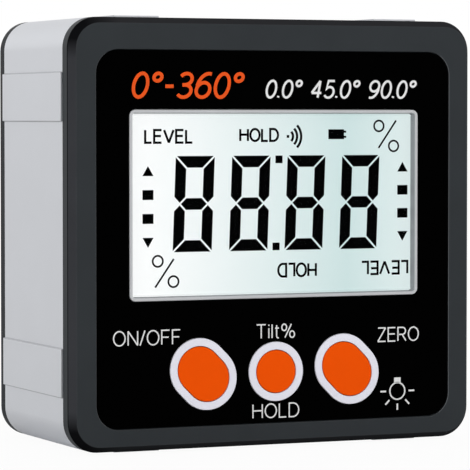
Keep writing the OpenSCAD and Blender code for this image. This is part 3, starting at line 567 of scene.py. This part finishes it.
# The sheet's colour and glow are painted with a shade that grows towards the right, darker and blue-green,
# and eases off near its right edge.
across = place(sheet_tree, "ShaderNodeSeparateXYZ", {0: in_millimetres(sheet_tree)}).outputs["X"]
painted_shade_growth = spread(sheet_tree, across, SHADE_START, SHADE_END)
painted_shade_fade = spread(sheet_tree, across, SHADE_END, SHADE_RETURN, 1.0, SHADE_LEFT)
sheet_painted_shade = maths(sheet_tree, "MULTIPLY", painted_shade_growth, painted_shade_fade)
plain = sheet_shader.inputs["Base Color"].links[0].from_socket
painted_shade_tone = mixed(sheet_tree, sheet_painted_shade, plain, SHEET_PAINTED_SHADE)
reflected = mixed(sheet_tree, SHEET_SHARE, BLACK, painted_shade_tone)
sheet_tree.links.new(reflected, sheet_shader.inputs["Base Color"])
sheet_tree.links.new(painted_shade_tone, sheet_shader.inputs["Emission Color"])
sheet_shader.inputs["Emission Strength"].default_value = SHEET_GLOW
dress(lit_sheet, "front_polariser", "rear_polariser")

rim_plastic = skin("rim_plastic", RIM_COLOUR, 0.4, grain=0.1, relief=0.002, drift=0.03)
rim_painted_shade = skin("rim_painted_shade", RIM_PAINTED_SHADE, 0.6, grain=0.1, relief=0.003, drift=0.03, specular=0.2)
rim = softened("display_frame", RIM_EDGE)
stand_in(rim, rim_plastic, "case", "rim_plastic", "display_frame")
rim.data.materials.append(rim_painted_shade)
# The sheet's glowing colour also paints a glow on the frame's faces behind the pane.
rim.data.materials.append(lit_sheet)
pane_low, pane_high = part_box("display_pane")
rim_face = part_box("display_frame")[0][1]
for side in rim.data.polygons:
    x, y, z = side.center
    across_pane = pane_low[0] - RIM_EDGE < x < pane_high[0] + RIM_EDGE
    up_pane = pane_low[2] - RIM_EDGE < z < pane_high[2] + RIM_EDGE
    # Faces behind the pane take the sheet's glowing colour, a painted glow.
    if across_pane and up_pane and y > pane_high[1] - WELD:
        side.material_index = PAINTED_GLOW_SLOT
    # The rim's inner walls in front of the pane take a painted shade.
    elif across_pane and up_pane and y > rim_face + RIM_EDGE:
        side.material_index = PAINTED_SHADE_SLOT

cell_glass = skin("display_glass", GLASS_COLOUR, 0.1, grain=0.6, relief=0.0005)
cell_glass.node_tree.nodes["Principled BSDF"].inputs["Alpha"].default_value = GLASS_ALPHA
dress(cell_glass, "front_glass", "rear_glass")
guide_plastic = skin("guide_plastic", GUIDE_COLOUR, 0.3, grain=0.3, relief=0.004, drift=0.03)
dress(guide_plastic, "light_guide", "backlight_lamp")
contact_rubber = skin("contact_rubber", RUBBER_COLOUR, 0.75, grain=0.1, relief=0.01, drift=0.2)
dress(contact_rubber, "contact_rubber")

# Fixed words and signs of the display. They are fields of the same liquid crystal layer as the
# segments, so they lie on the front polariser and are as dark.
WORD_LINE = 0.34
FINE_LINE = 0.27
WAVE_LINE = 0.37
# Each field has its words, the place of its middle on the front and its overall size, in millimetres.
UPRIGHT_FIELDS = (
    ("LEVEL", (-15.95, 13.79), (7.56, 2.12)),
    ("HOLD", (-1.94, 13.95), (6.27, 2.04)),
)
TURNED_FIELDS = (
    ("HOLD", (4.07, -5.5), (6.32, 2.16)),
    ("LEVEL", (18.18, -5.45), (7.76, 2.15)),
)
# The middle and the facing of each percent sign, and its bar and rings about that middle.
PERCENT_SIGNS = ((18.4, 13.76, 1), (-16.46, -5.3, -1))
BAR_FOOT = (1.25, 1.75)
BAR_HEAD = (1.6, 2.25)
RING_RADIUS = 0.78
RING_ASIDE = 1.2
RING_RISE = 1.46
# The cell sign's box and its two prongs, and the sounder sign's dot and waves.
CELL_SPAN = (9.05, 11.55)
CELL_LEVEL = 14.03
CELL_HEIGHT = 1.42
PRONG_END = 11.9
PRONG_LINE = 0.3
PRONG_RISE = 0.37
DOT_SPAN = (2.4, 2.8)
DOT_LINE = 0.4
WAVE_MIDDLE = (2.45, 13.73)
WAVE_RADII = (0.95, 1.6, 2.25)
WAVE_TURN = 45
image_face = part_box("front_polariser")[0][1]

words = bmesh.new()
for field in UPRIGHT_FIELDS:
    letter(words, *field, WORD_LINE, image_face)
for field in TURNED_FIELDS:
    letter(words, *field, WORD_LINE, image_face, turned=True)
for x, z, turn in PERCENT_SIGNS:
    foot = (x - BAR_FOOT[0] * turn, z - BAR_FOOT[1] * turn)
    head = (x + BAR_HEAD[0] * turn, z + BAR_HEAD[1] * turn)
    stroke(words, [foot, head], FINE_LINE, image_face)
    for side in (-1, 1):
        middle = (x + side * RING_ASIDE, z - side * RING_RISE)
        stroke(words, arc(middle, (RING_RADIUS, RING_RADIUS), 0, 360, 24), FINE_LINE, image_face)
stroke(words, [(CELL_SPAN[0], CELL_LEVEL), (CELL_SPAN[1], CELL_LEVEL)], CELL_HEIGHT, image_face)
for prong in (CELL_LEVEL - PRONG_RISE, CELL_LEVEL + PRONG_RISE):
    stroke(words, [(CELL_SPAN[1], prong), (PRONG_END, prong)], PRONG_LINE, image_face)
stroke(words, [(DOT_SPAN[0], WAVE_MIDDLE[1]), (DOT_SPAN[1], WAVE_MIDDLE[1])], DOT_LINE, image_face)
for radius in WAVE_RADII:
    stroke(words, arc(WAVE_MIDDLE, (radius, radius), -WAVE_TURN, WAVE_TURN, 10), WAVE_LINE, image_face)
case_piece("display_signs", words, display_image)

# Keys, collars and switches. Each orange key is moulded in ABS and slides in a pale collar pressed
# into the panel. Its flange keeps it in, and the switch plunger on the board springs it back.
KEY_EDGE = 0.06 * MM
COLLAR_EDGE = 0.05 * MM
KEY_COLOUR = (0.86, 0.084, 0.0005, 1.0)
COLLAR_COLOUR = (0.78, 0.78, 0.86, 1.0)
PLUNGER_COLOUR = (0.8, 0.78, 0.7, 1.0)
COMPONENT_COLOUR = (0.015, 0.015, 0.017, 1.0)
KEY_STEPS = 4

key_plastic = skin("key_plastic", KEY_COLOUR, 0.45, grain=0.12, relief=0.0015, drift=0.02, specular=0.03)
collar_plastic = skin("collar_plastic", COLLAR_COLOUR, 0.45, grain=0.12, relief=0.0015, drift=0.02,
                      specular=0.1)
plunger_plastic = skin("plunger_plastic", PLUNGER_COLOUR, 0.4, grain=0.15, relief=0.003, drift=0.04)
component_black = skin("component_black", COMPONENT_COLOUR, 0.5, grain=0.08, relief=0.006, drift=0.15)
for key in ("power", "hold", "zero"):
    cap = softened(key + "_key", KEY_EDGE, KEY_STEPS)
    stand_in(cap, key_plastic, key + "_button", "key_plastic", key + "_key")
    collar = softened(key + "_collar", COLLAR_EDGE)
    stand_in(collar, collar_plastic, "case", "collar_plastic", key + "_collar")
    dress(plunger_plastic, key + "_plunger")
dress(component_black, "switch_bases")

# Main board and what is soldered to it. Green glass-fibre board on four small screws, with the
# controller, tilt sensor, crystal, capacitors and sounder on its back.
BOARD_COLOUR = (0.012, 0.13, 0.05, 1.0)
TRACE_COLOUR = (0.02, 0.2, 0.08, 1.0)
TIN_COLOUR = (0.6, 0.6, 0.58, 1.0)
CERAMIC_COLOUR = (0.42, 0.3, 0.18, 1.0)
STEEL_COLOUR = (0.4, 0.4, 0.42, 1.0)

board_mask = skin("board", BOARD_COLOUR, 0.3, grain=0.3, relief=0.003, drift=0.06)
board_tree = board_mask.node_tree
board_shader = board_tree.nodes["Principled BSDF"]
traces = place(board_tree, "ShaderNodeTexBrick", {
    "Vector": in_millimetres(board_tree), "Scale": 1.0, "Mortar Size": 0.18, "Brick Width": 5.0,
    "Row Height": 1.6})
plain = board_shader.inputs["Base Color"].links[0].from_socket
tracked = mixed(board_tree, traces.outputs["Fac"], plain, TRACE_COLOUR)
board_tree.links.new(tracked, board_shader.inputs["Base Color"])
dress(board_mask, "main_board")
dress(component_black, "controller_chip", "tilt_sensor", "sounder")
tin = skin("tin", TIN_COLOUR, 0.35, grain=0.2, relief=0.002, patch=3.0, drift=0.08, metallic=1.0)
dress(tin, "clock_crystal")
ceramic = skin("capacitor", CERAMIC_COLOUR, 0.5, grain=0.1, relief=0.003, drift=0.1)
dress(ceramic, "chip_capacitors")
screw_steel = skin("screw_steel", STEEL_COLOUR, 0.35, grain=0.15, relief=0.002, patch=2.0,
                   drift=0.12, metallic=1.0)
dress(screw_steel, "board_screws")

# Extruded frame and magnets. A ring of aluminium cut from an extruded bar, bead-blasted and clear
# anodised, with ground pads on its four sides and nickel-plated magnets pressed into the lower pads.
FRAME_EDGE = 0.1 * MM
MAGNET_EDGE = 0.15 * MM
FRAME_COLOUR = (0.745, 0.759, 0.793, 1.0)
FRAME_WEAR_AND_GLINT = (0.85, 0.86, 0.885, 1.0)
STEP_PAINTED_SHADE = (0.57, 0.58, 0.605, 1.0)
STEP_REACH = 0.32 * MM
STEP_TURN = 0.2
PAINTED_STEP_SLOT = 1
NICKEL_COLOUR = (0.5, 0.49, 0.47, 1.0)

# Its rubbed edges are wear with a painted highlight on them.
frame_metal = skin("frame_metal", FRAME_COLOUR, 0.5, grain=0.25, relief=0.0002, patch=9.0, drift=0.01,
                   sway=0.01, metallic=1.0, wear_glint_colour=FRAME_WEAR_AND_GLINT, wear_glint_amount=0.4)
step_painted_shade = skin("step_painted_shade", STEP_PAINTED_SHADE, 0.6, grain=0.25, relief=0.0002, drift=0.05, metallic=1.0)
ring = softened("extruded_frame", FRAME_EDGE)
stand_in(ring, frame_metal, "case", "frame_metal", "extruded_frame")
ring.data.materials.append(step_painted_shade)
ring_low, ring_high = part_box("extruded_frame")
# The small step faces round the pads take a painted shade, darker than the metal about them.
for side in ring.data.polygons:
    at = side.center
    beside = min(at.x - ring_low[0], ring_high[0] - at.x) < STEP_REACH
    above = min(at.z - ring_low[2], ring_high[2] - at.z) < STEP_REACH
    if (beside and abs(side.normal.z) > STEP_TURN) or (above and abs(side.normal.x) > STEP_TURN):
        side.material_index = PAINTED_STEP_SLOT
nickel = skin("magnet", NICKEL_COLOUR, 0.2, grain=0.3, relief=0.001, patch=2.0, drift=0.06, metallic=1.0)
stand_in(softened("base_magnets", MAGNET_EDGE), nickel, "case", "magnet", "base_magnets")

# Back cover and case screws. The cover is moulded like the bezel and carries the battery tray, the
# door's seat and four sunk holes. Zinc-plated screws go through them into the bezel's posts.
COVER_EDGE = 0.16 * MM
SCREW_EDGE = 0.12 * MM
COVER_COLOUR = (0.024, 0.027, 0.03, 1.0)

# Its rubbed edges are wear with a painted highlight on them, the strongest on any piece.
cover_plastic = skin("cover_plastic", COVER_COLOUR, 0.45, grain=0.32, relief=0.012, drift=0.1,
                     specular=0.05, wear_glint_colour=BEZEL_WEAR_AND_GLINT, wear_glint_amount=0.7)
stand_in(softened("back_cover", COVER_EDGE), cover_plastic, "case", "cover_plastic", "back_cover")
stand_in(softened("case_screws", SCREW_EDGE), screw_steel, "case", "screw_steel", "case_screws")

# Battery door. A flat moulded flap on two pins at its upper edge, with finger grooves and a latch
# tongue below.
DOOR_EDGE = 0.14 * MM
stand_in(softened("battery_door", DOOR_EDGE), cover_plastic, "door", "cover_plastic", "battery_door")

# Battery cells and contacts. Two size AAA cells in printed sleeves lie between tinned plates, with
# conical springs at their flat ends. Red and black leads go from the plates to the board.
CELL_EDGE = 0.3 * MM
SLEEVE_COLOUR = (0.03, 0.055, 0.14, 1.0)
SLEEVE_BAND = (0.55, 0.42, 0.2, 1.0)
CAN_COLOUR = (0.55, 0.55, 0.56, 1.0)
RED_LEAD_COLOUR = (0.45, 0.012, 0.012, 1.0)
BLACK_LEAD_COLOUR = (0.01, 0.01, 0.012, 1.0)
# The band and the bare ends of a cell start at these places along it, in millimetres.
BAND_START = 11.0
TIP_START = 23.3
FLAT_END_START = -20.15

sleeve = skin("cell_sleeve", SLEEVE_COLOUR, 0.3, grain=0.3, relief=0.002, drift=0.05)
sleeve_tree = sleeve.node_tree
sleeve_shader = sleeve_tree.nodes["Principled BSDF"]
sleeve_at = place(sleeve_tree, "ShaderNodeSeparateXYZ", {0: in_millimetres(sleeve_tree)}).outputs
upper = maths(sleeve_tree, "GREATER_THAN", sleeve_at["Z"], case_middle / MM)
facing = spread(sleeve_tree, upper, 0.0, 1.0, -1.0, 1.0)
along_cell = maths(sleeve_tree, "MULTIPLY", sleeve_at["X"], facing)
banded = maths(sleeve_tree, "GREATER_THAN", along_cell, BAND_START)
plain = sleeve_shader.inputs["Base Color"].links[0].from_socket
printed = mixed(sleeve_tree, banded, plain, SLEEVE_BAND)
bare_tip = maths(sleeve_tree, "GREATER_THAN", along_cell, TIP_START)
bare_end = maths(sleeve_tree, "LESS_THAN", along_cell, FLAT_END_START)
bare = maths(sleeve_tree, "MAXIMUM", bare_tip, bare_end)
sleeve_tree.links.new(mixed(sleeve_tree, bare, printed, CAN_COLOUR), sleeve_shader.inputs["Base Color"])
sleeve_tree.links.new(bare, sleeve_shader.inputs["Metallic"])
for cell in ("upper_cell", "lower_cell"):
    stand_in(softened(cell, CELL_EDGE), sleeve, "case", "cell_sleeve", cell)
dress(tin, "negative_contact", "positive_contact", "bridge_contact")
red_insulation = skin("red_insulation", RED_LEAD_COLOUR, 0.4, grain=0.1, relief=0.003, drift=0.06)
dress(red_insulation, "red_lead")
black_insulation = skin("black_insulation", BLACK_LEAD_COLOUR, 0.4, grain=0.1, relief=0.003, drift=0.1)
dress(black_insulation, "black_lead")

# Contact springs. Each is a length of tinned wire wound as a cone, soldered by its wide end to a
# contact plate. The flat end of a cell presses on its narrow end.
SPRING_WIRE = 0.6 * MM
SPRING_BASE = 3.4 * MM
SPRING_TIP = 2.4 * MM
SPRING_RUN = 3.36 * MM
SPRING_TURNS = 3.0


def make_spring_tree():
    """Geometry nodes for a wire wound as a cone about the Z axis, with closed ends."""
    tree = bpy.data.node_groups.new("contact_spring", "GeometryNodeTree")
    for label in ("Turns", "Base Radius", "Tip Radius", "Run", "Wire Radius"):
        tree.interface.new_socket(label, in_out="INPUT", socket_type="NodeSocketFloat")
    tree.interface.new_socket("Material", in_out="INPUT", socket_type="NodeSocketMaterial")
    tree.interface.new_socket("Geometry", in_out="OUTPUT", socket_type="NodeSocketGeometry")
    enter = place(tree, "NodeGroupInput").outputs
    path = place(tree, "GeometryNodeCurveSpiral", {
        "Resolution": 40, "Rotations": enter["Turns"], "Start Radius": enter["Base Radius"],
        "End Radius": enter["Tip Radius"], "Height": enter["Run"]})
    section = place(tree, "GeometryNodeCurvePrimitiveCircle",
                    {"Resolution": 12, "Radius": enter["Wire Radius"]})
    wire = place(tree, "GeometryNodeCurveToMesh", {
        "Curve": path.outputs[0], "Profile Curve": section.outputs[0], "Fill Caps": True})
    solid = place(tree, "GeometryNodeRealizeInstances", {"Geometry": wire.outputs[0]})
    tinned = place(tree, "GeometryNodeSetMaterial",
                   {"Geometry": solid.outputs[0], "Material": enter["Material"]})
    tree.links.new(tinned.outputs[0], place(tree, "NodeGroupOutput").inputs[0])
    return tree


spring_tree = make_spring_tree()
spring_low, spring_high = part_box("contact_springs")
coils = bmesh.new()
for cell, base, along in (("upper_cell", spring_low[0], 1), ("lower_cell", spring_high[0], -1)):
    cell_low, cell_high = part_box(cell)
    coil = grown(cell + "_coil", spring_tree, {
        "Turns": SPRING_TURNS, "Base Radius": SPRING_BASE, "Tip Radius": SPRING_TIP, "Run": SPRING_RUN,
        "Wire Radius": SPRING_WIRE / 2, "Material": tin})
    for point in coil.data.vertices:
        x, y, run = point.co
        point.co = (base + along * (run + SPRING_WIRE / 2), (cell_low[1] + cell_high[1]) / 2 + along * x,
                    (cell_low[2] + cell_high[2]) / 2 + y)
    coils.from_mesh(coil.data)
    bpy.data.meshes.remove(coil.data)
springs = case_piece("coil_springs", coils, tin)
springs.data.shade_smooth()
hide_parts("contact_springs")

# Studio. A pale floor under the gauge, a white surround, three soft lamps and the camera where the
# photograph was taken from.
FLOOR_SIZE = 6.0
FLOOR_DROP = 0.02 * MM
FLOOR_COLOUR = (0.9, 0.9, 0.9, 1.0)
FLOOR_ROUGHNESS = 0.9
FLOOR_GLOW = 0.95
WHITE = (1.0, 1.0, 1.0, 1.0)
AMBIENT = 0.5
CEILING = 0.78
WALL_END = 0.3
CEILING_START = 0.75
# Each lamp has its name, its place, its width and height in metres, and its power.
LAMPS = (
    ("left_softbox", (-0.55, -0.35, 0.18), 1.3, 0.5, 2.2),
    ("front_softbox", (0.3, -0.68, 0.26), 1.2, 0.6, 2.45),
    ("back_softbox", (0.4, 0.5, 0.35), 0.5, 0.5, 1.2),
)
CAMERA_PLACE = (-0.1808, -0.4070, 0.0474)
CAMERA_YAW = math.radians(23.961)
CAMERA_PITCH = math.radians(2.246)
LENS = 231.51
SENSOR = 36.0


def ray_mask(tree, first, *others):
    """A mask that is 1 for the named kinds of ray and 0 for all others."""
    path = place(tree, "ShaderNodeLightPath").outputs
    mask = path[first]
    for kind in others:
        mask = maths(tree, "MAXIMUM", mask, path[kind])
    return mask


half = FLOOR_SIZE / 2
floor_mesh = bpy.data.meshes.new("floor")
corners = ((-half, -half), (half, -half), (half, half), (-half, half))
floor_mesh.from_pydata([(x, y, -FLOOR_DROP) for x, y in corners], [], [(0, 1, 2, 3)])
floor = bpy.data.objects.new("floor", floor_mesh)
bpy.context.scene.collection.objects.link(floor)
floor_paint = bpy.data.materials.new("floor_paint")
floor_paint.use_nodes = True
floor_tree = floor_paint.node_tree
floor_shader = floor_tree.nodes["Principled BSDF"]
floor_shader.inputs["Base Color"].default_value = FLOOR_COLOUR
floor_shader.inputs["Roughness"].default_value = FLOOR_ROUGHNESS
floor_shader.inputs["Specular IOR Level"].default_value = 0.0
glow = place(floor_tree, "ShaderNodeEmission", {"Color": WHITE, "Strength": 1.0})
looked_at = ray_mask(floor_tree, "Is Camera Ray", "Is Transmission Ray")
share = maths(floor_tree, "MULTIPLY", looked_at, FLOOR_GLOW)
floor_mix = place(floor_tree, "ShaderNodeMixShader", {
    0: share, 1: floor_shader.outputs[0], 2: glow.outputs[0]})
floor_tree.links.new(floor_mix.outputs[0], floor_tree.nodes["Material Output"].inputs["Surface"])
floor_mesh.materials.append(floor_paint)

world = bpy.data.worlds.new("surround")
world.use_nodes = True
world_tree = world.node_tree
towards = place(world_tree, "ShaderNodeTexCoord").outputs["Generated"]
height = place(world_tree, "ShaderNodeSeparateXYZ", {0: towards}).outputs["Z"]
walls = spread(world_tree, height, WALL_END, CEILING_START, 1.0, CEILING)
seen = ray_mask(world_tree, "Is Camera Ray", "Is Glossy Ray", "Is Transmission Ray")
unseen = maths(world_tree, "SUBTRACT", 1.0, seen)
level = maths(world_tree, "ADD", maths(world_tree, "MULTIPLY", seen, walls),
              maths(world_tree, "MULTIPLY", unseen, AMBIENT))
world_tree.links.new(level, world_tree.nodes["Background"].inputs["Strength"])
world_tree.nodes["Background"].inputs["Color"].default_value = WHITE
bpy.context.scene.world = world

aim = Vector((0.0, 0.0, case_middle))
for name, spot, wide, high, power in LAMPS:
    lamp = bpy.data.lights.new(name, "AREA")
    lamp.shape = "RECTANGLE"
    lamp.size = wide
    lamp.size_y = high
    lamp.energy = power
    holder = bpy.data.objects.new(name, lamp)
    holder.location = spot
    holder.rotation_euler = (aim - Vector(spot)).to_track_quat("-Z", "Y").to_euler()
    holder.visible_glossy = False
    bpy.context.scene.collection.objects.link(holder)

lens = bpy.data.cameras.new("camera")
lens.lens = LENS
lens.sensor_width = SENSOR
camera = bpy.data.objects.new("camera", lens)
camera.location = CAMERA_PLACE
camera.rotation_euler = (math.pi / 2 - CAMERA_PITCH, 0.0, -CAMERA_YAW)
bpy.context.scene.collection.objects.link(camera)
bpy.context.scene.camera = camera
bpy.context.scene.view_settings.view_transform = "Standard"
